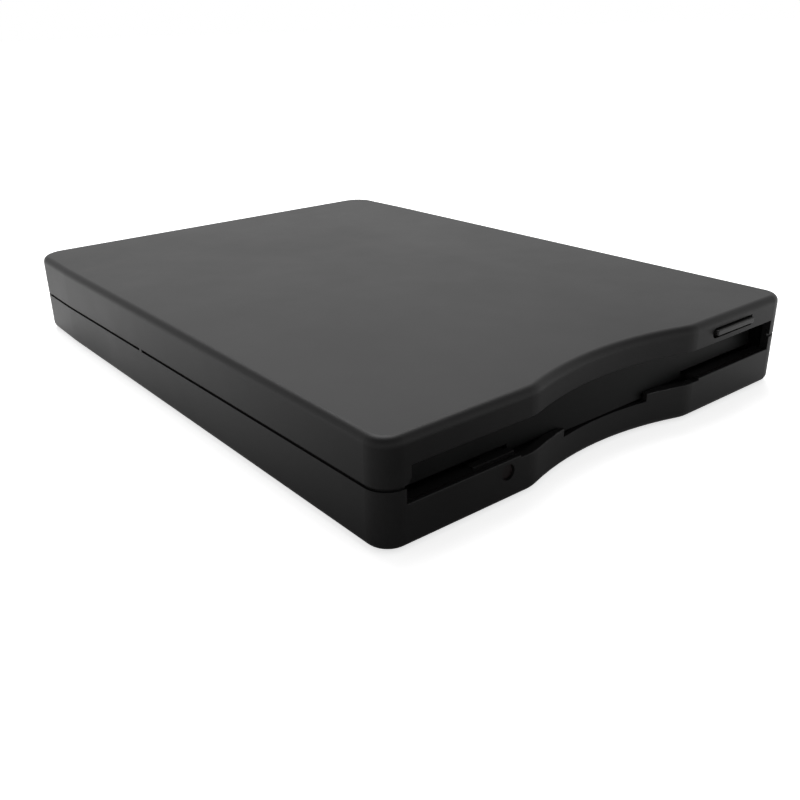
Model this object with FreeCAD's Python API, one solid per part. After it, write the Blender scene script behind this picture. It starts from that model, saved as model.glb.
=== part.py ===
import FreeCAD, Part
import math
import os
from FreeCAD import Vector

os.makedirs("parts", exist_ok=True)

# An external drive for 3.5 inch disks: a flat two-part case around a slim drive mechanism.
# Lengths are in millimetres and angles in degrees. X runs to the right seen from the front,
# Y runs from the front face to the back, and Z runs up from the surface that the feet stand on.
# The last step moves everything along Y, so that the origin is under the middle of the whole.

# Case
case_width = 104.0
case_depth = 142.0
case_height = 18.4
foot_stands = 0.4
wall = 1.6
floor_thick = 1.8
roof_thick = 1.6
front_corner = 4.1
rear_corner = 6.3
taper_run = 20.5
taper_in = 0.6
taper_blend = 60.0
top_round = 1.5
bottom_round = 1.4
seam_height = 10.3
seam_fall = 0.009
groove_height = 0.6
groove_deep = 0.5
groove_key_at = 80.0
groove_key_width = 1.0
lip_height = 1.2
lip_gap = 0.05
bottom_z = foot_stands
floor_z = bottom_z + floor_thick
top_z = bottom_z + case_height
roof_z = top_z - roof_thick
seam_z = bottom_z + seam_height

# Finger recess across both covers
recess_radius = 65.0
recess_depth = 3.4
recess_blend = 8.0
recess_wall = 0.9

# Disk slot, with a ledge inside it and a notch for the door's tab
slot_half = 47.5
slot_top = 13.85
slot_deep = 3.6
slot_soft = 0.2
shoulder_in = 0.9
shoulder_z = (10.7, 11.9)
lip_z = 7.4
lip_half = 24.0
ledge_z = 7.8
ledge_depth = 2.8
ledge_groove = (0.75, 1.0)
raised_from = -33.0
raised_height = 0.35
notch_x = (-11.0, 11.5)
notch_z = 5.85
through = 8.0
apron_x = (12.0, 46.5)
apron_y = (2.5, 10.8)
apron_z = (5.6, 6.2)

# Dust door, hinged along its top edge. Its heights are given as if it hung straight down.
door_axis_y = 5.0
door_axis_z = 14.6
door_lean = 6.5
door_half = 46.9
door_front = 4.5
door_thick = 0.9
door_bottom = 8.1
door_middle_half = 23.5
door_middle_bottom = 6.9
door_tab_x = (-10.75, 11.25)
door_tab_bottom = 6.1
door_knuckle = 0.6
door_pin = 0.5
door_pin_end = 48.7
door_pin_gap = 0.05
ear_from = 47.3
ear_to = 48.9

# Eject button
button_stands = 0.75
button_x = (27.3, 39.5)
button_z = (15.5, 16.6)
button_back = 3.6
button_hole_x = (26.9, 39.9)
button_hole_z = (14.85, 16.95)

# Status light
light_x = -26.8
light_z = 5.7
light_radius = 1.3
light_gap = 0.1
light_deep = 0.4
hood_top = 7.6
hood_half = 2.6
hood_thick = 0.4

# Feet, posts and screws
foot_radius = 4.0
foot_thick = 1.0
foot_places = [(-41.0, 11.0), (41.0, 11.0), (-41.0, 124.0), (41.0, 124.0)]
post_places = [(-43.0, 20.0), (43.0, 20.0), (-43.0, 104.0), (43.0, 104.0)]
post_radius = 3.2
boss_places = [(-42.0, 135.0), (42.0, 135.0)]
boss_radius = 3.2
screw_head = 2.1
screw_shank = 1.1
counterbore = 2.4

# Chassis of the mechanism
chassis_half = 48.0
chassis_wall = 1.0
chassis_y = (11.0, 127.0)
chassis_z = (4.6, 16.3)
chassis_floor = 0.8
chassis_top = chassis_z[0] + chassis_floor
sheet = 0.6
shield_thick = 0.4

# Slide plate and disk holder: the eject travel lowers the holder through sloped slots
eject_out = 3.5
eject_press = 0.5
drop_ratio = 0.5
plate_half = 46.8
plate_z = 15.4
plate_y = (14.0, 104.0)
plate_tongue_x = (30.0, 38.0)
holder_half = 46.0
holder_y = (13.0, 101.0)
holder_top = 14.1
holder_low = 8.7
holder_lip = 5.0
holder_lip_y = (17.0, 95.0)
pin_places = (24.0, 84.0)
pin_z = 11.9
pin_radius = 0.9
pin_gap = 0.1
pin_end = 47.7

# Shutter lever on the holder
lever_pivot = (40.0, 96.0)
lever_tip = (21.0, 70.25)
lever_turn = 58.0
lever_z = (14.2, 14.75)
lever_pin = 1.2
lever_slot_gap = 0.2

# Spindle
spindle_y = 53.0
rotor_radius = 20.0
rotor_z = (5.0, 7.4)
rotor_wall = 0.6
magnet_inner = 17.2
hub_radius = 11.0
hub_top = 8.0
shaft_radius = 1.5
bearing_gap = 0.03
stator_radius = 16.6
stator_teeth = 9

# Head carriage, at the outermost track
head_y = 92.5
rod_radius = 1.0
rod_gap = 0.05
rod_z = 6.4
rod_places = (-15.0, 9.0)
rod_y = (71.8, 123.0)
rod_slack = 0.8
carriage_x = (-18.0, 14.0)
carriage_y = (89.0, 119.0)
carriage_z = (4.75, 7.6)
arm_pivot_y = 116.0
arm_pivot_z = 12.0
arm_half = 4.2
arm_lift = 8.7
media_z = 9.7

# Lead screw and stepper motor
screw_x = 20.0
screw_z = 6.6
screw_radius = 1.0
screw_y = (75.2, 107.0)
motor_radius = 4.2
motor_y = (104.0, 118.0)

# Circuit boards
board_z = (2.9, 3.7)
usb_board_z = (3.7, 4.5)
socket_half = 3.85
socket_z = (4.5, 8.4)
socket_front = 132.8
socket_skin = 0.3


# Basic solids

def block(x, y, z):
    """A box between the low and high values of each axis."""
    return Part.makeBox(x[1] - x[0], y[1] - y[0], z[1] - z[0], Vector(x[0], y[0], z[0]))


def both_sides(x, y, z):
    """The same box on the right and, mirrored, on the left."""
    return block(x, y, z).fuse(block((-x[1], -x[0]), y, z))


def upright(x, y, z, radius):
    """A round bar that stands along Z."""
    return Part.makeCylinder(radius, z[1] - z[0], Vector(x, y, z[0]), Vector(0, 0, 1))


def lengthwise(x, z, y, radius):
    """A round bar that lies along Y."""
    return Part.makeCylinder(radius, y[1] - y[0], Vector(x, y[0], z), Vector(0, 1, 0))


def crosswise(y, z, x, radius):
    """A round bar that lies along X."""
    return Part.makeCylinder(radius, x[1] - x[0], Vector(x[0], y, z), Vector(1, 0, 0))


def joined(solids):
    """All the solids as one, with the seams between them removed."""
    solids = list(solids)
    return solids[0].fuse(solids[1:]).removeSplitter()


def group(solids):
    """Separate solids that share one node."""
    return Part.makeCompound(list(solids))


def bar_between(first, last, z, radius_first, radius_last):
    """A flat bar between two upright round ends, tangent to both."""
    (x1, y1), (x2, y2) = first, last
    length = math.hypot(x2 - x1, y2 - y1)
    heading = math.atan2(y2 - y1, x2 - x1)
    spread = math.acos((radius_first - radius_last) / length)
    corners = []
    for turn, x, y, radius in ((spread, x1, y1, radius_first), (spread, x2, y2, radius_last),
                               (-spread, x2, y2, radius_last), (-spread, x1, y1, radius_first)):
        angle = heading + turn
        corners.append(Vector(x + radius * math.cos(angle), y + radius * math.sin(angle), z[0]))
    side = Part.Face(Part.makePolygon(corners + corners[:1]))
    middle = side.extrude(Vector(0, 0, z[1] - z[0]))
    return joined([middle, upright(x1, y1, z, radius_first), upright(x2, y2, z, radius_last)])


def sloped_slot(x, start, end, radius):
    """A slot cut along X whose middle line runs from start to end, both (y, z)."""
    (y1, z1), (y2, z2) = start, end
    length = math.hypot(y2 - y1, z2 - z1)
    side_y = -(z2 - z1) / length * radius
    side_z = (y2 - y1) / length * radius
    corners = [Vector(x[0], y1 + side_y, z1 + side_z), Vector(x[0], y2 + side_y, z2 + side_z),
               Vector(x[0], y2 - side_y, z2 - side_z), Vector(x[0], y1 - side_y, z1 - side_z)]
    middle = Part.Face(Part.makePolygon(corners + corners[:1])).extrude(Vector(x[1] - x[0], 0, 0))
    return joined([middle, crosswise(y1, z1, x, radius), crosswise(y2, z2, x, radius)])


# Outline of the case

def rounded_chain(corners):
    """Lines and tangent arcs through a chain of (x, y, radius) corners."""
    points = [Vector(x, y, 0) for x, y, radius in corners]
    edges = []
    start = points[0]
    for index in range(1, len(corners) - 1):
        tip = points[index]
        radius = corners[index][2]
        back_way = (points[index - 1] - tip).normalize()
        on_way = (points[index + 1] - tip).normalize()
        half = back_way.getAngle(on_way) / 2
        first = tip + back_way * (radius / math.tan(half))
        last = tip + on_way * (radius / math.tan(half))
        inward = (back_way + on_way).normalize()
        middle = tip + inward * (radius / math.sin(half) - radius)
        edges.append(Part.LineSegment(start, first).toShape())
        edges.append(Part.Arc(first, middle, last).toShape())
        start = last
    edges.append(Part.LineSegment(start, points[-1]).toShape())
    return edges


def recess_edges():
    """The finger recess in the front edge, from its left end to its right end."""
    centre = Vector(0, recess_depth - recess_radius, 0)
    reach = recess_radius + recess_blend
    blend_x = math.sqrt(reach ** 2 - (recess_blend - centre.y) ** 2)
    edges = []
    touches = []
    for side in (-1, 1):
        blend_centre = Vector(side * blend_x, recess_blend, 0)
        touch = centre + (blend_centre - centre) * (recess_radius / reach)
        end = Vector(side * blend_x, 0, 0)
        way = ((end - blend_centre) + (touch - blend_centre)).normalize()
        middle = blend_centre + way * recess_blend
        stops = (end, middle, touch) if side < 0 else (touch, middle, end)
        edges.append(Part.Arc(*stops).toShape())
        touches.append(touch)
    bottom = Vector(0, recess_depth, 0)
    edges.insert(1, Part.Arc(touches[0], bottom, touches[1]).toShape())
    return edges, blend_x


def case_outline():
    """The case seen from above."""
    recess, recess_end = recess_edges()
    half = case_width / 2
    taper_y = case_depth - taper_run
    right = [(half, 0, front_corner), (half, taper_y, taper_blend), (half - taper_in, case_depth, rear_corner)]
    left = [(-x, y, radius) for x, y, radius in reversed(right)]
    chain = rounded_chain([(recess_end, 0, 0)] + right + left + [(-recess_end, 0, 0)])
    return Part.Face(Part.Wire(chain + recess))


def case_slab(inset, z):
    """A slab with the case's outline, inset all round."""
    face = case_outline()
    if inset:
        face = face.makeOffset2D(-inset)
    face.translate(Vector(0, 0, z[0]))
    return face.extrude(Vector(0, 0, z[1] - z[0]))


def rounded_rim(solid, z, radius):
    """The solid with the edges at height z rounded."""
    rim = [edge for edge in solid.Edges if abs(edge.BoundBox.ZMin - z) + abs(edge.BoundBox.ZMax - z) < 0.001]
    return solid.makeFillet(radius, rim)


def seam_at(y):
    """Height of the seam, which falls a little towards the back."""
    return seam_z - seam_fall * y


def below_seam(rise):
    """Everything under the plane of the seam, with the plane moved up by rise."""
    ends = (-10.0, case_depth + 10.0)
    upper = [Vector(-case_width, y, seam_at(y) + rise) for y in ends]
    lower = [Vector(-case_width, y, -10.0) for y in reversed(ends)]
    return Part.Face(Part.makePolygon(upper + lower + upper[:1])).extrude(Vector(2 * case_width, 0, 0))


def seam_layer(inset, low, high):
    """The case's outline, inset all round, between two heights over the seam."""
    return case_slab(inset, (bottom_z, top_z)).common(below_seam(high)).cut(below_seam(low))


def seam_groove(low, high):
    """The shallow groove where the covers meet, with a small key left in it on each side."""
    ring = seam_layer(0, low, high).cut(case_slab(groove_deep, (bottom_z, top_z)))
    half = case_width / 2
    key_y = (groove_key_at, groove_key_at + groove_key_width)
    return ring.cut(both_sides((half - 2 * wall, half + 1), key_y, (bottom_z, top_z)))


def slot_space():
    """What the disk slot takes out of both covers."""
    left = slot_half - shoulder_in
    corners = [(-slot_half, ledge_z), (slot_half, ledge_z), (slot_half, slot_top), (-left, slot_top),
               (-left, shoulder_z[1]), (-slot_half, shoulder_z[0])]
    points = [Vector(x, -5.0, z) for x, z in corners]
    sides = Part.Face(Part.makePolygon(points + points[:1])).extrude(Vector(0, slot_deep + 5.0, 0))
    front = (-5.0, through)
    middle = block((-lip_half, lip_half), front, (lip_z, slot_top))
    notch = block(notch_x, front, (notch_z, slot_top))
    door_z = (notch_z - 0.6, door_axis_z + 0.7)
    door_room = block((-door_half - 0.3, door_half + 0.3), (slot_deep - 0.3, 2 * through), door_z)
    return joined([sides, middle, notch, door_room.common(case_slab(recess_wall, door_z))])


def softened(solid, z):
    """The solid with its outer front edges at height z a little rounded."""
    edges = []
    for edge in solid.Edges:
        box = edge.BoundBox
        level = abs(box.ZMin - z) + abs(box.ZMax - z) < 0.001
        if level and box.YMin < recess_wall - 0.2 and box.XLength > 1.0:
            edges.append(edge)
    return solid.makeFillet(slot_soft, edges)


# Case pieces

def top_cover():
    shell = rounded_rim(case_slab(0, (bottom_z, top_z)), top_z, top_round)
    shell = shell.cut(case_slab(wall, (bottom_z - 1, roof_z))).cut(below_seam(0.0))
    shell = shell.cut(seam_layer(wall / 2, -1.0, lip_height + lip_gap))
    shell = shell.cut(seam_groove(0.0, groove_height / 2))
    bosses = [upright(x, y, (seam_at(y) + 0.15, roof_z + 0.5), boss_radius - 0.2) for x, y in boss_places]
    ears = [block((ear_from, ear_to), (3.9, 6.1), (13.5, roof_z + 0.5)),
            block((-ear_to, -ear_from), (3.9, 6.1), (13.5, roof_z + 0.5))]
    ribs = [block((x - 0.5, x + 0.5), (24.0, 118.0), (16.8, roof_z + 0.5)) for x in (-36.0, 0.0, 36.0)]
    shell = joined([shell] + bosses + ears + ribs)
    shell = shell.cut(slot_space())
    shell = shell.cut(crosswise(door_axis_y, door_axis_z, (-ear_to - 0.1, ear_to + 0.1), door_pin + door_pin_gap))
    end_radius = (button_hole_z[1] - button_hole_z[0]) / 2
    middle_z = sum(button_hole_z) / 2
    hole = block((button_hole_x[0] + end_radius, button_hole_x[1]), (-1.0, 5.0), button_hole_z)
    hole = hole.fuse(lengthwise(button_hole_x[0] + end_radius, middle_z, (-1.0, 5.0), end_radius))
    shell = shell.cut(hole)
    for x, y in boss_places:
        shell = shell.cut(upright(x, y, (seam_at(y) - 1, 15.5), screw_shank))
    return softened(shell, slot_top)


def slot_apron():
    """The shelf behind the slot's lip, which hides the boards, with a hood over the light."""
    shelf = both_sides(apron_x, apron_y, apron_z)
    hood = block((light_x - hood_half, light_x + hood_half), apron_y, (apron_z[0], hood_top))
    room_half = hood_half - hood_thick
    room = block((light_x - room_half, light_x + room_half), (ledge_depth, apron_y[1] + 1),
                 (apron_z[0] - 1, hood_top - hood_thick))
    return joined([shelf, hood]).cut(room)


def bottom_cover():
    shell = rounded_rim(case_slab(0, (bottom_z, top_z)), bottom_z, bottom_round)
    shell = shell.cut(case_slab(wall, (floor_z, top_z + 1))).common(below_seam(0.0))
    shell = shell.cut(seam_groove(-groove_height / 2, 0.0))
    lip = seam_layer(wall / 2 + lip_gap, -1.0, lip_height).cut(case_slab(wall, (bottom_z, top_z)))
    posts = [upright(x, y, (floor_z - 0.5, chassis_z[0]), post_radius) for x, y in post_places]
    bosses = [upright(x, y, (floor_z - 0.5, seam_at(y) - 0.05), boss_radius) for x, y in boss_places]
    board_posts = [upright(x, 137.0, (floor_z - 0.5, usb_board_z[0]), 1.6) for x in (-24.0, 24.0)]
    ledges = [both_sides((lip_half, slot_half + 1), (0.8, ledge_depth), (floor_z - 0.5, ledge_z))]
    shell = joined([shell, lip] + posts + bosses + board_posts + ledges)
    shell = shell.cut(slot_space())
    shell = softened(softened(shell, ledge_z), lip_z)
    shell = shell.cut(both_sides((lip_half, slot_half), ledge_groove, (ledge_z - 0.6, ledge_z + 1)))
    raised = block((raised_from, -lip_half), (wall, ledge_depth), (ledge_z - 1, ledge_z + raised_height))
    shell = joined([shell, raised, slot_apron()])
    shell = shell.cut(lengthwise(light_x, light_z, (-1.0, ledge_depth + 0.1), light_radius + light_gap))
    for x, y in foot_places:
        shell = shell.cut(upright(x, y, (0.0, foot_thick), foot_radius + 0.1))
    for x, y in post_places:
        shell = shell.cut(upright(x, y, (0.0, 2.0), counterbore))
        shell = shell.cut(upright(x, y, (1.0, 5.0), screw_shank + 0.1))
    for x, y in boss_places:
        shell = shell.cut(upright(x, y, (0.0, 4.0), counterbore))
        shell = shell.cut(upright(x, y, (3.0, 11.0), screw_shank + 0.1))
    return shell.cut(block((-4.15, 4.15), (136.0, 145.0), (socket_z[0] - 0.3, socket_z[1] + 0.3)))


def rubber_feet():
    return group(upright(x, y, (0.0, foot_thick), foot_radius) for x, y in foot_places)


def cross_head_screw(x, y, head_z, length):
    """A pan head screw whose head sits at head_z and points down."""
    head = upright(x, y, (head_z - 1.1, head_z), screw_head)
    shank = upright(x, y, (head_z, head_z + length), screw_shank)
    cross_z = (head_z - 1.2, head_z - 0.5)
    cross = block((x - 1.2, x + 1.2), (y - 0.2, y + 0.2), cross_z)
    cross = cross.fuse(block((x - 0.2, x + 0.2), (y - 1.2, y + 1.2), cross_z))
    return joined([head, shank]).cut(cross)


def case_screws():
    return group(cross_head_screw(x, y, 4.0, 11.0) for x, y in boss_places)


def chassis_screws():
    return group(cross_head_screw(x, y, 2.0, 3.8) for x, y in post_places)


def light_pipe():
    lens = lengthwise(light_x, light_z, (light_deep, 5.4), light_radius)
    shoulder = block((light_x - 1.8, light_x + 1.8), (ledge_depth + 0.05, 3.6), (4.3, 6.9))
    return joined([lens, shoulder])


def status_led():
    body = block((light_x - 1.6, light_x + 1.6), (6.4, 9.4), (board_z[1], 7.0))
    dome = lengthwise(light_x, light_z, (5.6, 6.5), 1.1)
    return joined([body, dome])


# Dust door

def dust_door():
    """The flap, whose foot leans forward against the case."""
    thick = (door_front, door_front + door_thick)
    leaf = block((-door_half, door_half), thick, (door_bottom, door_axis_z))
    middle = block((-door_middle_half, door_middle_half), thick, (door_middle_bottom, door_axis_z))
    tab = block(door_tab_x, thick, (door_tab_bottom, door_axis_z))
    leaf = joined([leaf, middle, tab])
    leaf.rotate(Vector(0, door_axis_y, door_axis_z), Vector(1, 0, 0), -door_lean)
    knuckle = crosswise(door_axis_y, door_axis_z, (-door_half, door_half), door_knuckle)
    pins = crosswise(door_axis_y, door_axis_z, (-door_pin_end, door_pin_end), door_pin)
    return joined([leaf, knuckle, pins])


def door_spring():
    """The closing spring, as the sleeve that its turns fill, on the left pin outside its ear."""
    place = (-50.0, -ear_to - 0.05)
    return crosswise(door_axis_y, door_axis_z, place, 0.9).cut(
        crosswise(door_axis_y, door_axis_z, place, door_pin + 0.1))


# Eject button and slide plate

def eject_button():
    middle_z = sum(button_z) / 2
    end_radius = (button_z[1] - button_z[0]) / 2
    bar = block((button_x[0] + end_radius, button_x[1] - 0.3), (-button_stands, button_back), button_z)
    end = lengthwise(button_x[0] + end_radius, middle_z, (-button_stands, button_back), end_radius)
    flat_end = block((button_x[1] - 1, button_x[1]), (-button_stands, button_back), button_z)
    button = joined([bar, end, flat_end])
    front = [edge for edge in button.Edges if abs(edge.BoundBox.YMax + button_stands) < 0.001]
    button = button.makeFillet(0.3, front)
    return button.cut(block(plate_tongue_x, (0.6, 5.0), (plate_z, plate_z + sheet)))


def slide_plate():
    top = block((-plate_half, plate_half), plate_y, (plate_z, plate_z + sheet))
    top = top.cut(block((-32.0, 32.0), (58.0, 110.0), (15.0, 17.0)))
    top = top.cut(block((30.0, 43.6), (88.0, 110.0), (15.0, 17.0)))
    top = top.cut(upright(0.0, 36.0, (15.0, 17.0), 15.0))
    tongue = block(plate_tongue_x, (0.6, plate_y[0] + 1), (plate_z, plate_z + sheet))
    hooks = [block((x - 1, x + 1), (34.0, 34.6), (14.5, plate_z + 0.2)) for x in (-38.0, 38.0)]
    flanges = []
    cuts = []
    for y in pin_places:
        flanges.append(both_sides((plate_half - sheet, plate_half), (y - 4, y + 8), (7.7, plate_z + sheet)))
        upper = (y - eject_press, pin_z + eject_press * drop_ratio)
        lower = (y + eject_out, pin_z - eject_out * drop_ratio)
        cuts.append(sloped_slot((-50.0, 50.0), upper, lower, pin_radius + pin_gap))
    plate = joined([top, tongue] + hooks + flanges)
    return plate.cut(cuts)


def eject_springs():
    """Two pull springs as the bars that their turns fill, from the chassis hooks to the slide plate."""
    return group(lengthwise(x, 14.95, (15.6, 33.9), 0.4) for x in (-38.0, 38.0))


# Disk holder and shutter lever

def arc_slot(centre, inner, outer, angles, z):
    """A ring sector between two angles with round ends."""
    middle = (inner + outer) / 2
    start, end = angles
    face = Part.makeCylinder(outer, z[1] - z[0], Vector(centre[0], centre[1], z[0]), Vector(0, 0, 1), end - start)
    hole = Part.makeCylinder(inner, z[1] - z[0] + 2, Vector(centre[0], centre[1], z[0] - 1), Vector(0, 0, 1))
    sector = face.cut(hole)
    sector.rotate(Vector(centre[0], centre[1], 0), Vector(0, 0, 1), start)
    ends = []
    for angle in angles:
        x = centre[0] + middle * math.cos(math.radians(angle))
        y = centre[1] + middle * math.sin(math.radians(angle))
        ends.append(upright(x, y, z, (outer - inner) / 2))
    return joined([sector] + ends)


def disk_holder():
    top = block((-holder_half, holder_half), holder_y, (holder_top - sheet, holder_top))
    flanges = both_sides((holder_half - sheet, holder_half), holder_y, (holder_low, holder_top))
    lips = both_sides((holder_half - holder_lip, holder_half), holder_lip_y, (holder_low, holder_low + sheet))
    holder = joined([top, flanges, lips])
    cut_z = (holder_top - 2, holder_top + 1)
    holder = holder.cut(block((-13.5, 13.5), (12.0, 16.5), cut_z))
    holder = holder.cut(block((-5.8, 5.8), (72.0, 102.0), cut_z))
    holder = holder.cut(block((-7.0, 7.0), (95.0, 102.0), cut_z))
    reach = math.hypot(lever_tip[0] - lever_pivot[0], lever_tip[1] - lever_pivot[1])
    start = math.degrees(math.atan2(lever_tip[1] - lever_pivot[1], lever_tip[0] - lever_pivot[0])) + 360
    half = lever_pin + lever_slot_gap
    holder = holder.cut(arc_slot(lever_pivot, reach - half, reach + half, (start - lever_turn, start), cut_z))
    for y in pin_places:
        holder = holder.cut(crosswise(y, pin_z, (-50.0, 50.0), pin_radius))
    return holder.cut(upright(lever_pivot[0], lever_pivot[1], cut_z, 1.2))


def holder_pins():
    inner = holder_half - sheet
    pins = [crosswise(y, pin_z, (inner, pin_end), pin_radius) for y in pin_places]
    pins += [crosswise(y, pin_z, (-pin_end, -inner), pin_radius) for y in pin_places]
    return group(pins)


def shutter_lever():
    arm = bar_between(lever_pivot, lever_tip, lever_z, 3.5, 1.6)
    pin = upright(lever_tip[0], lever_tip[1], (10.0, lever_z[1]), lever_pin)
    return joined([arm, pin]).cut(upright(lever_pivot[0], lever_pivot[1], (14.0, 15.0), 1.55))


def lever_rivet():
    x, y = lever_pivot
    stem = upright(x, y, (holder_top - sheet, holder_top), 1.2)
    shoulder = upright(x, y, (holder_top, 14.85), 1.5)
    head = upright(x, y, (14.85, 15.1), 2.6)
    return joined([stem, shoulder, head])


def lever_spring():
    """The return spring of the lever, as the ring that its turns fill."""
    x, y = lever_pivot
    return upright(x, y, (15.15, 15.35), 2.4).cut(upright(x, y, (15.0, 16.0), 1.4))


# Spindle motor

def motor_plate():
    plate = upright(0.0, spindle_y, (3.8, chassis_z[0]), rotor_radius + 4)
    return plate.cut(upright(0.0, spindle_y, (3.0, 5.0), 2.6))


def spindle_bearing():
    sleeve = upright(0.0, spindle_y, (3.8, 6.6), 2.6)
    flange = upright(0.0, spindle_y, (chassis_z[0], 4.9), 3.6)
    return joined([sleeve, flange]).cut(upright(0.0, spindle_y, (3.0, 7.0), shaft_radius + bearing_gap))


def stator_core():
    level = (4.9, 5.9)
    ring = upright(0.0, spindle_y, level, 7.0)
    teeth = []
    for index in range(stator_teeth):
        tooth = block((6.0, stator_radius - 1), (spindle_y - 1.2, spindle_y + 1.2), level)
        shoe = block((stator_radius - 1.4, stator_radius - 0.4), (spindle_y - 3.6, spindle_y + 3.6), level)
        limb = tooth.fuse(shoe)
        limb.rotate(Vector(0, spindle_y, 0), Vector(0, 0, 1), index * 360 / stator_teeth)
        teeth.append(limb)
    core = joined([ring] + teeth)
    return core.cut(upright(0.0, spindle_y, (4.0, 7.0), 3.7))


def stator_coils():
    coils = []
    for index in range(stator_teeth):
        coil = block((8.6, 14.6), (spindle_y - 1.9, spindle_y + 1.9), (4.7, 6.2))
        coil = coil.cut(block((8.0, 15.0), (spindle_y - 1.2, spindle_y + 1.2), (4.9, 5.9)))
        coil.rotate(Vector(0, spindle_y, 0), Vector(0, 0, 1), index * 360 / stator_teeth)
        coils.append(coil)
    return group(coils)


def spindle_rotor():
    cup = upright(0.0, spindle_y, rotor_z, rotor_radius)
    cup = cup.cut(upright(0.0, spindle_y, (0.0, rotor_z[1] - rotor_wall), rotor_radius - rotor_wall))
    return cup.cut(upright(0.0, spindle_y, (0.0, 9.0), shaft_radius))


def rotor_magnet():
    level = (rotor_z[0] + 0.1, rotor_z[1] - rotor_wall)
    return upright(0.0, spindle_y, level, rotor_radius - rotor_wall).cut(
        upright(0.0, spindle_y, level, magnet_inner))


def spindle_hub():
    shaft = upright(0.0, spindle_y, (4.0, hub_top), shaft_radius)
    disc = upright(0.0, spindle_y, (rotor_z[1], hub_top), hub_radius)
    nose = upright(0.0, spindle_y, (hub_top - 0.2, hub_top + 0.8), 2.0)
    return joined([shaft, disc, nose]).cut(upright(8.4, spindle_y, (7.0, 9.0), 1.0))


def drive_pin():
    return upright(8.4, spindle_y, (rotor_z[1], hub_top + 0.7), 1.0)


# Head carriage

def head_carriage():
    body = block(carriage_x, carriage_y, carriage_z)
    body = body.cut(block((4.0, carriage_x[1] + 1), (101.0, carriage_y[1] + 1), (4.0, 9.0)))
    body = body.cut(block((-12.0, 2.0), (98.0, 111.0), (4.0, 9.0)))
    riser = block((-6.0, 6.0), (113.5, carriage_y[1]), (carriage_z[0], 13.0))
    follower = block((carriage_x[1] - 1, 18.2), (96.5, 99.5), (5.6, 7.4))
    flag = block((carriage_x[0] - 1.2, carriage_x[0] + 1), (104.0, 108.0), (6.0, 6.6))
    body = joined([body, riser, follower, flag])
    body = body.cut(block((-arm_half - 0.5, arm_half + 0.5), (113.0, 120.0), (10.4, 14.0)))
    body = body.cut(lengthwise(rod_places[0], rod_z, (80.0, 125.0), rod_radius + rod_gap))
    for shift in (-rod_slack, 0.0, rod_slack):
        x = rod_places[1] + shift
        body = body.cut(lengthwise(x, rod_z, (80.0, 125.0), rod_radius + rod_gap))
    body = body.cut(crosswise(98.0, screw_z, (15.0, 19.0), 0.4))
    body = body.cut(crosswise(arm_pivot_y, arm_pivot_z, (-8.0, 8.0), 0.8))
    return body.cut(block((-2.5, 2.5), (head_y - 2, head_y + 2), (6.6, 9.0)))


def follower_pin():
    return crosswise(98.0, screw_z, (15.0, screw_x - screw_radius - 0.05), 0.4)


def lower_head():
    mount = block((-2.5, 2.5), (head_y - 2, head_y + 2), (6.6, 8.6))
    slider = block((-1.6, 1.6), (head_y - 1.5, head_y + 1.5), (8.5, media_z))
    return joined([mount, slider])


def arm_pin():
    return crosswise(arm_pivot_y, arm_pivot_z, (-6.0, 6.0), 0.8)


def lifted(solid):
    """The solid turned up about the arm's pivot, as it stands while no disk is in."""
    solid.rotate(Vector(0, arm_pivot_y, arm_pivot_z), Vector(1, 0, 0), -arm_lift)
    return solid


def head_arm():
    beam = block((-arm_half, arm_half), (94.6, arm_pivot_y), (11.5, 12.3))
    knuckle = crosswise(arm_pivot_y, arm_pivot_z, (-arm_half, arm_half), 1.5)
    step = block((-3.6, 3.6), (94.4, 95.2), (10.6, 12.3))
    tip = block((-3.6, 3.6), (90.0, 95.2), (10.6, 11.3))
    arm = joined([beam, knuckle, step, tip])
    arm = arm.cut(block((-2.2, 2.2), (99.0, 111.0), (11.0, 13.0)))
    return lifted(arm.cut(crosswise(arm_pivot_y, arm_pivot_z, (-8.0, 8.0), 0.85)))


def upper_head():
    mount = block((-2.5, 2.5), (90.5, 94.3), (10.2, 10.6))
    slider = block((-1.6, 1.6), (head_y - 1.5, head_y + 1.5), (media_z + 0.05, 10.3))
    return lifted(joined([mount, slider]))


def arm_spring():
    """The spring that presses the heads together, as the ring that its turns fill."""
    place = (arm_half + 0.05, arm_half + 0.45)
    return crosswise(arm_pivot_y, arm_pivot_z, place, 1.4).cut(
        crosswise(arm_pivot_y, arm_pivot_z, place, 0.82))


def guide_rods():
    return group(lengthwise(x, rod_z, rod_y, rod_radius) for x in rod_places)


def rod_clips():
    clips = []
    for x in rod_places:
        for y in ((72.2, 73.6), (121.4, 122.8)):
            clip = block((x - 2.2, x + 2.2), y, (chassis_top, 7.8))
            clip = clip.cut(block((x - rod_radius, x + rod_radius), rod_y, (chassis_top - 1, rod_z)))
            clips.append(clip.cut(lengthwise(x, rod_z, rod_y, rod_radius)))
    return group(clips)


# Lead screw and stepper motor

def lead_screw():
    stem = lengthwise(screw_x, screw_z, (77.0, 102.6), screw_radius)
    return joined([stem, lengthwise(screw_x, screw_z, screw_y, 0.8)])


def screw_bracket():
    base = block((22.4, 27.0), (75.5, 104.0), (chassis_top, chassis_top + sheet))
    front = block((17.8, 27.0), (75.5, 76.5), (chassis_top, 7.9))
    rear = block((15.4, 27.0), (103.2, 104.0), (chassis_top, 11.2))
    bracket = joined([base, front, rear])
    bracket = bracket.cut(lengthwise(screw_x, screw_z, (75.0, 77.0), 0.85))
    return bracket.cut(lengthwise(screw_x, screw_z, (103.0, 105.0), 1.3))


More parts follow.
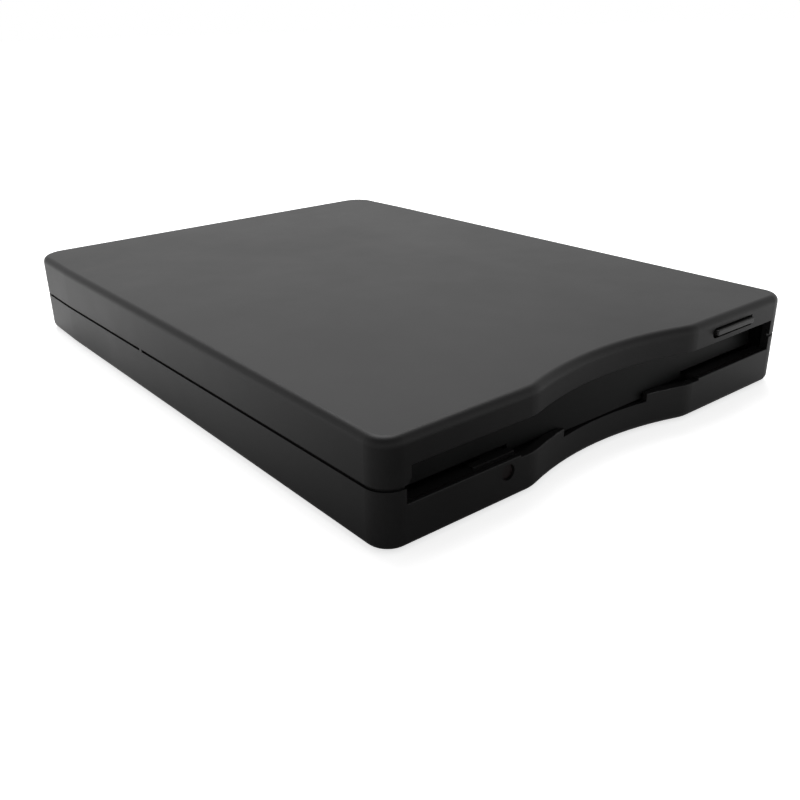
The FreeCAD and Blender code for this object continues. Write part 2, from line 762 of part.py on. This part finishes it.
def stepper_motor():
    can = lengthwise(screw_x, screw_z, motor_y, motor_radius)
    end_cap = lengthwise(screw_x, screw_z, (motor_y[1] - 0.2, motor_y[1] + 0.8), 2.4)
    terminals = block((screw_x - 6.2, screw_x - 3.5), (109.0, 115.0), (5.6, 8.2))
    motor = joined([can, end_cap, terminals])
    return motor.cut(lengthwise(screw_x, screw_z, (103.0, screw_y[1] + 0.4), 0.85))


# Chassis

def chassis():
    low, high = chassis_z
    floor = block((-chassis_half, chassis_half), chassis_y, (low, chassis_top))
    walls = both_sides((chassis_half - chassis_wall, chassis_half), chassis_y, chassis_z)
    rear = block((-chassis_half, chassis_half), (chassis_y[1] - chassis_wall, chassis_y[1]), chassis_z)
    hooks = both_sides((37.4, chassis_half), (15.0, 15.6), (14.5, 15.3))
    spacers = [upright(x, y, (board_z[1], low), 2.0) for x in (-32.0, 32.0) for y in (30.0, 116.0)]
    body = joined([floor, walls, rear, hooks] + spacers)
    cuts = [upright(0.0, spindle_y, (low - 1, 6.0), rotor_radius + 1),
            block((-20.0, 15.0), (73.9, 121.0), (low - 1, 6.0)),
            block((13.0, 24.8), (103.9, 119.4), (low - 1, 6.0)),
            block((-15.0, 15.0), (125.0, 128.0), (low - 1, 7.4)),
            block((light_x - 2.0, light_x + 2.0), (10.0, 12.0), (low - 1, 6.0))]
    for y in pin_places:
        slot_y = (y - pin_radius - pin_gap, y + pin_radius + pin_gap)
        slot_low = pin_z - eject_out * drop_ratio - pin_radius - pin_gap
        cuts.append(both_sides((chassis_half - 2, chassis_half + 1), slot_y, (slot_low, high + 1)))
    for x, y in post_places:
        cuts.append(upright(x, y, (low - 1, 6.0), screw_shank))
    for y in (36.0, 110.0):
        cuts.append(crosswise(y, 14.6, (-50.0, 50.0), 0.8))
    return body.cut(cuts)


def top_shield():
    outer = chassis_half + 0.05 + shield_thick
    top = block((-outer, outer), chassis_y, (chassis_z[1], chassis_z[1] + shield_thick))
    skirts = both_sides((chassis_half + 0.05, outer), chassis_y, (12.8, chassis_z[1] + shield_thick))
    shield = joined([top, skirts])
    for y in (36.0, 110.0):
        shield = shield.cut(crosswise(y, 14.6, (-50.0, 50.0), 0.8))
    return shield


def shield_screws():
    screws = []
    for side in (-1, 1):
        for y in (36.0, 110.0):
            face = side * (chassis_half + 0.05 + shield_thick)
            tip = side * (chassis_half - chassis_wall)
            shank = crosswise(y, 14.6, tuple(sorted((tip, face))), 0.8)
            head = crosswise(y, 14.6, tuple(sorted((face, face + side * 0.5))), 1.6)
            screws.append(joined([shank, head]))
    return group(screws)


# Boards and switches

def drive_board():
    board = block((-39.0, 39.0), (22.0, 124.0), board_z)
    strip = block((-39.0, -14.0), (6.0, 23.0), board_z)
    board = joined([board, strip])
    return board.cut([block((14.6, 25.4), (103.0, 119.6), (2.0, 5.0)),
                      block((-36.2, -33.4), (5.0, 8.0), (2.0, 5.0))])


def board_chips():
    level = (board_z[1], board_z[1] + 0.8)
    places = [(-27.0, 84.0, 5.0), (30.0, 92.0, 3.5), (-28.0, 58.0, 3.0), (29.0, 56.0, 2.5)]
    return group(block((x - half, x + half), (y - half, y + half), level) for x, y, half in places)


def bay_switches():
    """Write protect, disk present and density switches under the front corners of the disk."""
    switches = []
    for x, y in ((-41.0, 13.0), (41.0, 13.0), (36.5, 13.0)):
        body = block((x - 1.8, x + 1.8), (y - 1.3, y + 1.3), (chassis_top, 7.2))
        button = upright(x, y, (7.1, 7.7), 0.7)
        switches.append(joined([body, button]))
    return group(switches)


def track_sensor():
    body = block((-24.0, -18.4), (104.5, 107.5), (chassis_top, 7.9))
    return body.cut(block((-20.6, -18.0), (104.0, 108.0), (5.7, 6.9)))


def usb_board():
    board = block((-40.0, 40.0), (128.6, 139.6), usb_board_z)
    return board.cut([upright(x, y, (3.0, 6.0), boss_radius + 0.3) for x, y in boss_places])


def usb_chips():
    level = (usb_board_z[1], usb_board_z[1] + 1.0)
    chip = block((-22.0, -15.0), (130.5, 137.5), level)
    crystal = block((-30.5, -26.0), (132.0, 134.0), (level[0], level[0] + 1.6))
    capacitors = [upright(x, 133.5, (level[0], level[0] + 3.0), 1.6) for x in (16.0, 20.6)]
    return group([chip, crystal] + capacitors)


def usb_socket():
    shell = block((-socket_half, socket_half), (socket_front, 141.8), socket_z)
    edges = [edge for edge in shell.Edges if abs(edge.BoundBox.ZMin - edge.BoundBox.ZMax) < 0.001
             and abs(edge.BoundBox.XMin - edge.BoundBox.XMax) < 0.001 and edge.BoundBox.ZMin < socket_z[0] + 0.1]
    shell = shell.makeChamfer(1.0, edges)
    hollow = block((-socket_half + socket_skin, socket_half - socket_skin), (socket_front + 1, 143.0),
                   (socket_z[0] + socket_skin, socket_z[1] - socket_skin))
    hollow_edges = [edge for edge in hollow.Edges if abs(edge.BoundBox.ZMin - edge.BoundBox.ZMax) < 0.001
                    and abs(edge.BoundBox.XMin - edge.BoundBox.XMax) < 0.001
                    and edge.BoundBox.ZMin < socket_z[0] + 1]
    return shell.cut(hollow.makeChamfer(0.8, hollow_edges))


def usb_tongue():
    middle = (socket_z[0] + socket_z[1]) / 2
    base = block((-2.6, 2.6), (socket_front + 1, socket_front + 3), (middle - 1.1, middle + 1.2))
    blade = block((-2.2, 2.2), (socket_front + 1, 140.2), (middle - 0.1, middle + 0.9))
    return joined([base, blade])


def board_connectors():
    front = block((-13.5, 13.5), (121.6, 123.8), (board_z[1], board_z[1] + 0.85))
    rear = block((-13.5, 13.5), (129.2, 131.6), (usb_board_z[1], usb_board_z[1] + 1.6))
    return group([front, rear])


def ribbon_cable():
    """The flat cable between the two boards, bent twice."""
    thick = 0.15
    line = [(123.8, 4.1), (125.4, 4.1), (127.6, 5.5), (129.2, 5.5)]
    upper = [Vector(-12.5, y, z + thick) for y, z in line]
    lower = [Vector(-12.5, y, z) for y, z in reversed(line)]
    profile = Part.makePolygon(upper + lower + upper[:1])
    return Part.Face(profile).extrude(Vector(25.0, 0, 0))


PIECES = [
    top_cover, bottom_cover, rubber_feet, case_screws, chassis_screws, light_pipe, status_led,
    dust_door, door_spring, eject_button, slide_plate, eject_springs, disk_holder, holder_pins,
    shutter_lever, lever_rivet, lever_spring, motor_plate, spindle_bearing, stator_core,
    stator_coils, spindle_rotor, rotor_magnet, spindle_hub, drive_pin, head_carriage,
    follower_pin, lower_head, arm_pin, head_arm, upper_head, arm_spring, guide_rods, rod_clips,
    lead_screw, screw_bracket, stepper_motor, chassis, top_shield, shield_screws, drive_board,
    board_chips, bay_switches, track_sensor, usb_board, usb_chips, usb_socket, usb_tongue,
    board_connectors, ribbon_cable,
]

middle_y = (case_depth - button_stands) / 2
for piece in PIECES:
    shape = piece()
    shape.translate(Vector(0, -middle_y, 0))
    shape.exportStep("parts/" + piece.__name__ + ".step")
    print(piece.__name__, len(shape.Solids), round(shape.Volume, 1), shape.isValid())
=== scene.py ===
import math
import bpy
from mathutils import Matrix, Vector


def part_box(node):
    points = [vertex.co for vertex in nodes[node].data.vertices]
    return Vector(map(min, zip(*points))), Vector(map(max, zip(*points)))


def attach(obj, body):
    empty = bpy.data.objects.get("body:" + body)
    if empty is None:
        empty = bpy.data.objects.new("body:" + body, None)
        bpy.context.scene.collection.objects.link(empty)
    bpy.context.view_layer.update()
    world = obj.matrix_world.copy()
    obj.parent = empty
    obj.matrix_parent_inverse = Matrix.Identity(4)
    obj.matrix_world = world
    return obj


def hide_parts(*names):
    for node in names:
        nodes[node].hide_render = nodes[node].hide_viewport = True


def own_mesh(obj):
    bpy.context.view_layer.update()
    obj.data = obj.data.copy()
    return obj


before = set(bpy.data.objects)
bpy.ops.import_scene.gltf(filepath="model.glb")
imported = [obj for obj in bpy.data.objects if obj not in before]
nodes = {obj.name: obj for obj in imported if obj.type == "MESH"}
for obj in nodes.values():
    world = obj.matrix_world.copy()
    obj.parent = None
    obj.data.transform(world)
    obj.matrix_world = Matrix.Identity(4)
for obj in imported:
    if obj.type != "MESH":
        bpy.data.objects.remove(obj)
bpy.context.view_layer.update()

# Lengths are in metres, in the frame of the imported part: X to the right seen from the front,
# Y from the front to the back, Z up from the floor.
MM = 0.001

# Camera, fitted to the outline in the photograph
PHOTO_SIDE = 800
CAMERA_TARGET = Vector((-29.6, -39.53, 9.4)) * MM
CAMERA_DISTANCE = 158.0 * MM
CAMERA_AZIMUTH = math.radians(-37.11)
CAMERA_ELEVATION = math.radians(23.57)
CAMERA_ROLL = math.radians(-1.66)
CAMERA_NEAR = 0.005
CAMERA_FAR = 20.0
FOCAL_PIXELS = 879.1
CENTRE_PIXEL = (372.7, 396.1)
SENSOR = 36.0

# Stage
DISC_SIDES = 96
FLOOR_RADIUS = 4.0
FLOOR_WHITE = 0.82
FLOOR_LIFT = 0.7
WORLD_LIGHT = 0.42
CEILING_SEEN = 0.1
CEILING_FROM = 0.42
CEILING_FULL = 0.75
# A black card that only reflections see: painted shade of the floor before the near corner
FLAG_PLACE = Vector((-42.0, -118.0, 0.1)) * MM
FLAG_CORE = 24.0 * MM
FLAG_RADIUS = 190.0 * MM

# Key lamp, with its angles in degrees
KEY_AZIMUTH = 150
KEY_ELEVATION = 62
KEY_DISTANCE = 1.1
KEY_SIZE = 0.7
KEY_POWER = 12.0

# Sizes of the patterns in the materials, and the refraction of the clear ones
LENS_IOR = 1.49
MOTTLE = 6 * MM
HANDLED_PATCH = 22 * MM
MOULD_STREAK = 0.8 * MM
DUST_PATCH = 2 * MM
RUBBER_GRAIN = 0.15 * MM
ROLLED_LINE = 0.25 * MM
STAIN = 9 * MM
WIRE_PITCH = 0.22 * MM
ENAMEL_PATCH = 0.6 * MM
TRACK_SPACING = 9 * MM
STRAY_SPACING = 3.1 * MM
MASK_PATCH = 4 * MM
CONDUCTOR_PITCH = 1.0 * MM
FILM_PATCH = 3 * MM

# Springs. The eject springs fill round bars in the CAD model. The others are given as node, body,
# axis, radius at each end, length, turns and wire radius, with these lengths in millimetres.
TURN_STEPS = 12
WIRE_BEVEL = 2
EJECT_BAR = 0.4 * MM
EJECT_COIL = 0.3 * MM
EJECT_WIRE = 0.09 * MM
EJECT_LEAD = 3.0 * MM
EJECT_TURNS = 40
OTHER_SPRINGS = (
    ("door_spring", "case", (1, 0, 0), (0.78, 0.78), 0.78, 4, 0.1),
    ("lever_spring", "holder", (0, 0, 1), (1.6, 2.3), 0.0, 3, 0.08),
    ("arm_spring", "carriage", (1, 0, 0), (1.28, 1.28), 0.22, 2, 0.08),
)


# Camera

def photo_camera():
    """A camera that sees the part as the photograph does."""
    azimuth, elevation, roll = CAMERA_AZIMUTH, CAMERA_ELEVATION, CAMERA_ROLL
    back = Vector((math.sin(azimuth) * math.cos(elevation),
                   -math.cos(azimuth) * math.cos(elevation), math.sin(elevation)))
    right = (-back).cross(Vector((0, 0, 1))).normalized()
    up = right.cross(-back)
    turned_right = math.cos(roll) * right + math.sin(roll) * up
    turned_up = -math.sin(roll) * right + math.cos(roll) * up
    data = bpy.data.cameras.new("photo_camera")
    data.sensor_width = SENSOR
    data.lens = FOCAL_PIXELS / PHOTO_SIDE * SENSOR
    data.shift_x = 0.5 - CENTRE_PIXEL[0] / PHOTO_SIDE
    data.shift_y = CENTRE_PIXEL[1] / PHOTO_SIDE - 0.5
    data.clip_start = CAMERA_NEAR
    data.clip_end = CAMERA_FAR
    camera = bpy.data.objects.new("photo_camera", data)
    turn = Matrix((turned_right, turned_up, back)).transposed().to_4x4()
    camera.matrix_world = Matrix.Translation(CAMERA_TARGET + back * CAMERA_DISTANCE) @ turn
    bpy.context.scene.collection.objects.link(camera)
    bpy.context.scene.camera = camera


# Node helpers

class Nodes:
    """A node tree, built a node at a time."""

    def __init__(self, tree):
        self.tree = tree

    def feed(self, socket, value):
        """Sets a socket to a value, or links another socket into it."""
        if isinstance(value, bpy.types.NodeSocket):
            self.tree.links.new(value, socket)
        else:
            socket.default_value = value

    def add(self, kind, inputs=None, **settings):
        node = self.tree.nodes.new(kind)
        for key, value in settings.items():
            setattr(node, key, value)
        for key, value in (inputs or {}).items():
            self.feed(node.inputs[key], value)
        return node

    def maths(self, operation, first, second=0.0):
        return self.add("ShaderNodeMath", {0: first, 1: second}, operation=operation).outputs[0]

    def spread(self, value, low, high, start=0.3, end=0.7):
        """The value mapped from start..end onto low..high and held there."""
        inputs = {"Value": value, "From Min": start, "From Max": end, "To Min": low, "To Max": high}
        return self.add("ShaderNodeMapRange", inputs).outputs[0]

    def seen(self):
        """1 for camera, glossy and transmission rays, which show the background itself."""
        rays = self.add("ShaderNodeLightPath").outputs
        direct = self.maths("MAXIMUM", rays["Is Camera Ray"], rays["Is Glossy Ray"])
        return self.maths("MAXIMUM", direct, rays["Is Transmission Ray"])


class Graph(Nodes):
    """The node tree of one material."""

    def __init__(self, name):
        self.material = bpy.data.materials.new(name)
        self.material.use_nodes = True
        super().__init__(self.material.node_tree)
        self.shader = self.tree.nodes["Principled BSDF"]
        self.place = self.add("ShaderNodeTexCoord").outputs["Object"]

    def finish(self, **inputs):
        """Feeds the shader, whose sockets are named with _ for a space."""
        for key, value in inputs.items():
            self.feed(self.shader.inputs[key.replace("_", " ")], value)
        return self.material

    def surface(self, shader):
        """Takes another shader than the usual one for the surface."""
        self.feed(self.tree.nodes["Material Output"].inputs["Surface"], shader)
        return self.material

    def stretched(self, along):
        """Coordinates squeezed along each axis by a factor, for grain with a direction."""
        return self.add("ShaderNodeVectorMath", {0: self.place, 1: along}, operation="MULTIPLY").outputs[0]

    def noise(self, size, detail=2.0, place=None):
        """Noise from 0 to 1 whose blotches are about size across."""
        inputs = {"Vector": place or self.place, "Scale": 1 / size, "Detail": detail}
        return self.add("ShaderNodeTexNoise", inputs).outputs[0]

    def cells(self, size, feature="F1"):
        """Distance to the nearest of points scattered about size apart, or to the border between two."""
        inputs = {"Vector": self.place, "Scale": 1 / size}
        return self.add("ShaderNodeTexVoronoi", inputs, feature=feature).outputs["Distance"]

    def blend(self, factor, first, second):
        """A colour between two, by a factor."""
        node = self.add("ShaderNodeMix", data_type="RGBA")
        for index, value in ((0, factor), (6, first), (7, second)):
            self.feed(node.inputs[index], value)
        return node.outputs[2]

    def bump(self, height, depth, under=None):
        """A surface normal from a height from 0 to 1, for a relief that deep."""
        inputs = {"Height": height, "Distance": depth, "Strength": 1.0}
        if under:
            inputs["Normal"] = under
        return self.add("ShaderNodeBump", inputs).outputs[0]


def shade(colour, factor):
    """An opaque colour, scaled."""
    return (colour[0] * factor, colour[1] * factor, colour[2] * factor, 1.0)


# Materials of the case

def moulded_plastic(name, colour, roughness, grain, depth, gloss):
    """Plastic from a spark eroded mould: a fine even grain, faint mottling and handled patches."""
    g = Graph(name)
    mottle = g.noise(MOTTLE, 3.0)
    handled = g.noise(HANDLED_PATCH, 4.0)
    tone = g.blend(g.spread(mottle, 0.0, 1.0), shade(colour, 0.9), shade(colour, 1.12))
    patches = g.spread(handled, roughness - 0.018, roughness + 0.018)
    rough = g.maths("ADD", patches, g.spread(mottle, -0.01, 0.01))
    pits = g.noise(grain, 1.0)
    fine = g.noise(grain * 0.4, 2.0)
    relief = g.bump(fine, depth * 0.4, g.bump(pits, depth))
    g.shader.inputs["Specular IOR Level"].default_value = gloss
    return g.finish(Base_Color=tone, Roughness=rough, Normal=relief)


def lens_plastic(name, colour, clear, gloss):
    """Smoked plastic or tinted resin, with faint streaks from the mould."""
    g = Graph(name)
    streaks = g.noise(MOULD_STREAK, 2.0)
    tone = g.blend(g.spread(streaks, 0.0, 1.0), shade(colour, 0.8), shade(colour, 1.2))
    g.shader.inputs["Transmission Weight"].default_value = clear
    g.shader.inputs["Specular IOR Level"].default_value = gloss
    g.shader.inputs["IOR"].default_value = LENS_IOR
    return g.finish(Base_Color=tone, Roughness=g.spread(streaks, 0.3, 0.38),
                    Normal=g.bump(streaks, 0.004 * MM))


def rubber(name, colour):
    """Matt rubber with a dusty bloom."""
    g = Graph(name)
    dust = g.noise(DUST_PATCH, 5.0)
    tone = g.blend(g.spread(dust, 0.0, 1.0, 0.45, 0.75), shade(colour, 1.0), shade(colour, 2.2))
    return g.finish(Base_Color=tone, Roughness=g.spread(dust, 0.7, 0.9),
                    Normal=g.bump(g.noise(RUBBER_GRAIN), 0.02 * MM))


# Materials inside

def rolled_metal(name, colour, roughness, along):
    """Metal with fine lines along one direction, given as a squeeze of each axis."""
    g = Graph(name)
    g.shader.inputs["Metallic"].default_value = 1.0
    lines = g.noise(ROLLED_LINE, 3.0, g.stretched(along))
    stains = g.noise(STAIN, 4.0)
    tone = g.blend(g.spread(stains, 0.0, 1.0), shade(colour, 0.86), shade(colour, 1.06))
    brushed = g.spread(lines, roughness - 0.06, roughness + 0.06)
    rough = g.maths("ADD", brushed, g.spread(stains, -0.04, 0.05))
    return g.finish(Base_Color=tone, Roughness=rough, Normal=g.bump(lines, 0.002 * MM))


def grained_metal(name, colour, roughness, grain, depth):
    """Cast or sintered metal with a granular skin, darker in its pores: painted shade of the pits."""
    g = Graph(name)
    g.shader.inputs["Metallic"].default_value = 1.0
    skin = g.noise(grain, 4.0)
    pores = g.cells(grain * 2)
    # Painted shade: the colour darkens to 0.75 in the pits of the pores
    tone = g.blend(g.spread(pores, 0.0, 1.0, 0.05, 0.4), shade(colour, 0.75), shade(colour, 1.05))
    relief = g.bump(skin, depth, g.bump(g.spread(pores, 0.0, 1.0, 0.0, 0.3), depth * 0.5))
    rough = g.spread(skin, roughness - 0.08, roughness + 0.1)
    return g.finish(Base_Color=tone, Roughness=rough, Normal=relief)


def wound_copper(name, colour, centre):
    """Enamelled wire whose turns lie square to the line from the spindle, with painted shade in the
    grooves between turns.
    """
    g = Graph(name)
    g.shader.inputs["Metallic"].default_value = 1.0
    g.shader.inputs["Coat Weight"].default_value = 0.4
    flat = g.stretched((1.0, 1.0, 0.0))
    away = g.add("ShaderNodeVectorMath", {0: flat, 1: centre}, operation="DISTANCE").outputs["Value"]
    turns = g.maths("ABSOLUTE", g.maths("SINE", g.maths("MULTIPLY", away, math.pi / WIRE_PITCH)))
    # Painted shade: the colour falls to 0.3 in the grooves between turns
    tone = g.blend(turns, shade(colour, 0.3), shade(colour, 1.0))
    return g.finish(Base_Color=tone, Roughness=g.spread(g.noise(ENAMEL_PATCH), 0.22, 0.34),
                    Normal=g.bump(turns, 0.05 * MM))


def circuit_board(name, colour):
    """Solder mask over tracks and pads."""
    g = Graph(name)
    black, white = (0, 0, 0, 1), (1, 1, 1, 1)
    tracks = g.add("ShaderNodeTexBrick", {"Vector": g.place, "Scale": 1 / TRACK_SPACING,
                                          "Mortar Size": 0.035, "Color1": black, "Color2": black,
                                          "Mortar": white})
    wander = g.spread(g.cells(STRAY_SPACING, "DISTANCE_TO_EDGE"), 1.0, 0.0, 0.03, 0.06)
    copper = g.maths("MAXIMUM", tracks.outputs["Color"], wander)
    tone = g.blend(copper, shade(colour, 0.55), shade(colour, 1.5))
    g.shader.inputs["Coat Weight"].default_value = 0.3
    return g.finish(Base_Color=tone, Roughness=g.spread(g.noise(MASK_PATCH), 0.3, 0.42),
                    Normal=g.bump(copper, 0.03 * MM))


def striped_film(name, colour):
    """Clear film over flat conductors that run from front to back."""
    g = Graph(name)
    across = g.add("ShaderNodeSeparateXYZ", {0: g.place}).outputs["X"]
    wave = g.maths("SINE", g.maths("MULTIPLY", across, math.tau / CONDUCTOR_PITCH))
    wire = g.spread(wave, 0.0, 1.0, -0.1, 0.2)
    tone = g.blend(wire, shade(colour, 0.95), (0.45, 0.42, 0.36, 1.0))
    return g.finish(Base_Color=tone, Roughness=g.spread(g.noise(FILM_PATCH), 0.25, 0.4),
                    Normal=g.bump(wire, 0.02 * MM))


def granular(name, colour, roughness, grain, depth, spread=0.25):
    """A plain solid such as ferrite, ceramic, epoxy or nylon, with its own grain."""
    g = Graph(name)
    skin = g.noise(grain, 4.0)
    tone = g.blend(g.spread(skin, 0.0, 1.0), shade(colour, 1 - spread), shade(colour, 1 + spread))
    return g.finish(Base_Color=tone, Roughness=g.spread(skin, roughness - 0.05, roughness + 0.05),
                    Normal=g.bump(skin, depth))


def make_materials():
    """One material for each of the record's slots."""
    spindle = Vector((0.0, sum(c.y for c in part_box("spindle_hub")) / 2, 0.0))
    return {
        "case_plastic": moulded_plastic("case_plastic_satin", (0.0072, 0.007, 0.0071), 0.46,
                                        0.22 * MM, 0.006 * MM, 0.19),
        # The door is set darker and duller than the case: painted shade of the slot it sits in
        "door_plastic": moulded_plastic("door_plastic_satin", (0.0058, 0.006, 0.0059), 0.42,
                                        0.3 * MM, 0.003 * MM, 0.09),
        "button_plastic": moulded_plastic("button_plastic_satin", (0.0095, 0.0093, 0.0093), 0.4,
                                          0.25 * MM, 0.004 * MM, 0.3),
        "foot_rubber": rubber("foot_rubber_dusty", (0.012, 0.012, 0.012)),
        "dark_screw": rolled_metal("black_oxide_steel", (0.035, 0.035, 0.037), 0.38, (1, 1, 1)),
        "lens_plastic": lens_plastic("smoked_lens", (0.0095, 0.0068, 0.0068), 0.05, 0.15),
        "led_resin": lens_plastic("led_resin_red", (0.5, 0.05, 0.04), 0.5, 0.5),
        "cast_alloy": grained_metal("cast_alloy_skin", (0.6, 0.6, 0.61), 0.42, 0.5 * MM, 0.02 * MM),
        "steel_sheet": rolled_metal("zinc_plated_sheet", (0.56, 0.56, 0.57), 0.32, (1, 0.04, 1)),
        "spring_steel": rolled_metal("spring_wire", (0.5, 0.5, 0.5), 0.25, (1, 1, 1)),
        "shaft_steel": rolled_metal("ground_steel", (0.62, 0.62, 0.63), 0.16, (0.1, 1, 0.1)),
        "bearing_bronze": grained_metal("sintered_bronze", (0.55, 0.37, 0.17), 0.45, 0.12 * MM, 0.01 * MM),
        "coil_copper": wound_copper("enamelled_copper", (0.72, 0.3, 0.12), spindle),
        "magnet_ferrite": granular("bonded_ferrite", (0.05, 0.05, 0.052), 0.6, 0.3 * MM, 0.01 * MM),
        "rotor_steel": rolled_metal("pressed_steel", (0.5, 0.5, 0.5), 0.28, (1, 1, 1)),
        "inner_plastic": granular("glass_filled_plastic", (0.03, 0.03, 0.03), 0.5, 0.4 * MM, 0.012 * MM),
        "head_ceramic": granular("polished_ceramic", (0.3, 0.26, 0.21), 0.2, 0.2 * MM, 0.001 * MM, 0.1),
        "board_green": circuit_board("solder_mask_green", (0.02, 0.12, 0.045)),
        "chip_black": granular("chip_epoxy", (0.02, 0.02, 0.021), 0.45, 0.2 * MM, 0.006 * MM),
        "ribbon_film": striped_film("ribbon_film_striped", (0.72, 0.68, 0.58)),
        "connector_white": granular("connector_nylon", (0.62, 0.6, 0.52), 0.4, 0.5 * MM, 0.004 * MM, 0.06),
        "socket_steel": rolled_metal("tin_plated_shell", (0.66, 0.66, 0.67), 0.2, (1, 0.1, 1)),
    }


def dress_nodes(materials):
    """Gives every carried-over piece the finish of its slot."""
    for node in nodes.values():
        for slot in node.material_slots:
            slot.material = materials[slot.material.name]


# Springs

def wound_spring(name, node, body, centre, axis, radii, length, turns, wire, lead=0.0):
    """A wire wound about an axis from one radius to the other, with a straight lead at each end."""
    path = [(0.0, 0.0, -length / 2)] if lead else []
    wound = length - 2 * lead
    steps = int(turns * TURN_STEPS)
    for index in range(steps + 1):
        share = index / steps
        angle = math.tau * turns * share
        radius = radii[0] + (radii[1] - radii[0]) * share
        path.append((radius * math.cos(angle), radius * math.sin(angle), wound * (share - 0.5)))
    path += [(0.0, 0.0, length / 2)] if lead else []
    curve = bpy.data.curves.new(name, "CURVE")
    curve.dimensions = "3D"
    curve.bevel_depth = wire
    curve.bevel_resolution = WIRE_BEVEL
    curve.use_fill_caps = True
    line = curve.splines.new("POLY")
    line.points.add(len(path) - 1)
    turn = Vector((0, 0, 1)).rotation_difference(Vector(axis))
    for point, place in zip(line.points, path):
        point.co = (*(Vector(centre) + turn @ Vector(place)), 1.0)
    mesh = bpy.data.meshes.new_from_object(bpy.data.objects.new(name, curve))
    mesh.shade_smooth()
    mesh.materials.append(bpy.data.materials["spring_wire"])
    spring = bpy.data.objects.new(name, mesh)
    bpy.context.scene.collection.objects.link(spring)
    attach(spring, body)
    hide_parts(node)
    return spring


def eject_springs():
    """The two pull springs, which shorten as the slide plate moves out, here wound at one fixed length."""
    low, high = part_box("eject_springs")
    centre = (low + high) / 2
    length = high.y - low.y
    for side, x in (("left", low.x + EJECT_BAR), ("right", high.x - EJECT_BAR)):
        spring = wound_spring("eject_spring_" + side, "eject_springs", "case", (x, centre.y, centre.z),
                              (0, 1, 0), (EJECT_COIL, EJECT_COIL), length, EJECT_TURNS, EJECT_WIRE,
                              EJECT_LEAD)
        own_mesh(spring)


def other_springs():
    """The door's, the lever's and the arm's springs, each in the space of its CAD node."""
    for node, body, axis, radii, length, turns, wire in OTHER_SPRINGS:
        low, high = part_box(node)
        wound_spring(node + "_wire", node, body, (low + high) / 2, axis,
                     [radius * MM for radius in radii], length * MM, turns, wire * MM)


# Stage

def stage_disc(name, radius, place, material):
    """A flat round piece of the stage."""
    bpy.ops.mesh.primitive_circle_add(vertices=DISC_SIDES, radius=radius, fill_type="NGON", location=place)
    disc = bpy.context.object
    disc.name = name
    disc.data.materials.append(material)
    return disc


def stage_floor():
    """A pale floor, lifted to white where it is seen or mirrored, that keeps the shadow."""
    g = Graph("floor_white")
    lift = g.add("ShaderNodeEmission", {"Strength": g.maths("MULTIPLY", g.seen(), FLOOR_LIFT)})
    matt = g.add("ShaderNodeBsdfDiffuse", {"Color": (FLOOR_WHITE, FLOOR_WHITE, FLOOR_WHITE, 1.0)})
    both = g.add("ShaderNodeAddShader", {0: matt.outputs[0], 1: lift.outputs[0]})
    g.tree.nodes.remove(g.shader)
    floor = stage_disc("stage_floor", FLOOR_RADIUS, (0.0, 0.0, 0.0), g.surface(both.outputs[0]))


def painted_shade_flag():
    """A soft edged black card on the floor before the near corner, that only reflections see: painted
    shade of the floor there, shown in reflections only.
    """
    g = Graph("flag_black_painted_shade")
    away = g.add("ShaderNodeVectorMath", {0: g.place}, operation="LENGTH").outputs["Value"]
    clear = g.spread(away, 0.0, 1.0, FLAG_CORE, FLAG_RADIUS)
    g.shader.inputs["Base Color"].default_value = (0.0, 0.0, 0.0, 1.0)
    g.shader.inputs["Specular IOR Level"].default_value = 0.0
    through = g.add("ShaderNodeBsdfTransparent")
    mixed = g.add("ShaderNodeMixShader", {0: clear, 1: g.shader.outputs[0], 2: through.outputs[0]})
    flag = stage_disc("stage_flag_painted_shade", FLAG_RADIUS, FLAG_PLACE, g.surface(mixed.outputs[0]))
    flag.visible_camera = False
    flag.visible_diffuse = False
    flag.visible_transmission = False
    flag.visible_shadow = False


def stage_world():
    """Even light from all round, seen as white up to a dark ceiling."""
    world = bpy.data.worlds.new("studio_world")
    world.use_nodes = True
    n = Nodes(world.node_tree)
    way = n.add("ShaderNodeTexCoord").outputs["Generated"]
    height = n.add("ShaderNodeSeparateXYZ", {0: way}).outputs["Z"]
    backdrop = n.spread(height, 1.0, CEILING_SEEN, CEILING_FROM, CEILING_FULL)
    background = n.tree.nodes["Background"]
    n.feed(background.inputs["Strength"], n.spread(n.seen(), WORLD_LIGHT, backdrop, 0.0, 1.0))
    n.feed(background.inputs["Color"], (1.0, 1.0, 1.0, 1.0))
    bpy.context.scene.world = world


def key_lamp():
    """A square area lamp high over the back right, that looks at the part's origin."""
    azimuth, elevation = math.radians(KEY_AZIMUTH), math.radians(KEY_ELEVATION)
    way = Vector((math.sin(azimuth) * math.cos(elevation),
                  -math.cos(azimuth) * math.cos(elevation), math.sin(elevation)))
    data = bpy.data.lights.new("key_softbox", "AREA")
    data.shape = "SQUARE"
    data.size = KEY_SIZE
    data.energy = KEY_POWER
    lamp = bpy.data.objects.new("key_softbox", data)
    turn = way.to_track_quat("Z", "Y").to_matrix().to_4x4()
    lamp.matrix_world = Matrix.Translation(way * KEY_DISTANCE) @ turn
    bpy.context.scene.collection.objects.link(lamp)


photo_camera()
dress_nodes(make_materials())
eject_springs()
other_springs()
stage_floor()
# Painted shade of the floor before the near corner, seen only in reflections
painted_shade_flag()
stage_world()
key_lamp()

bpy.context.scene.view_settings.view_transform = "Standard"
